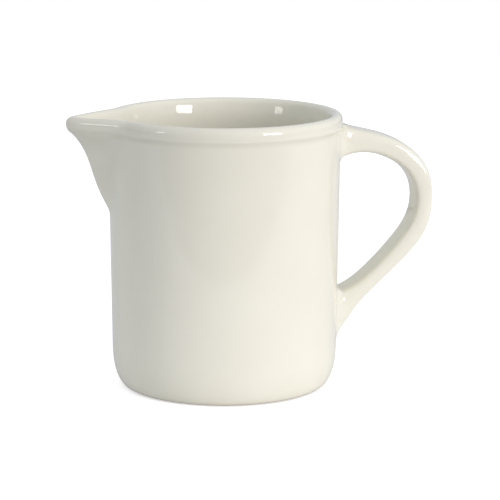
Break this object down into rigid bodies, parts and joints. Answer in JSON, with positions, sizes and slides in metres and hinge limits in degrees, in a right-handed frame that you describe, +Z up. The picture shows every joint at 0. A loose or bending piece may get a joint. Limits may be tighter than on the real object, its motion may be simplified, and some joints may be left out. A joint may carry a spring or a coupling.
{
  "type": "pitcher",
  "caption": "Glazed stoneware milk pitcher: straight-sided body with a rolled rim, a pulled pouring spout and an open strap handle opposite it.",
  "frame": {"origin": "centre of the foot, on the body's axis in the plane it stands on", "axes": "+Z up along the body's axis, +X towards the handle, -X towards the spout, +Y to the side"},
  "size_m": [0.1511, 0.096, 0.1121],
  "materials": {
    "glaze": "glossy off-white glaze over fired clay"
  },
  "bodies": {
    "root": {"pitcher": "glaze"}
  },
  "joints": []
}
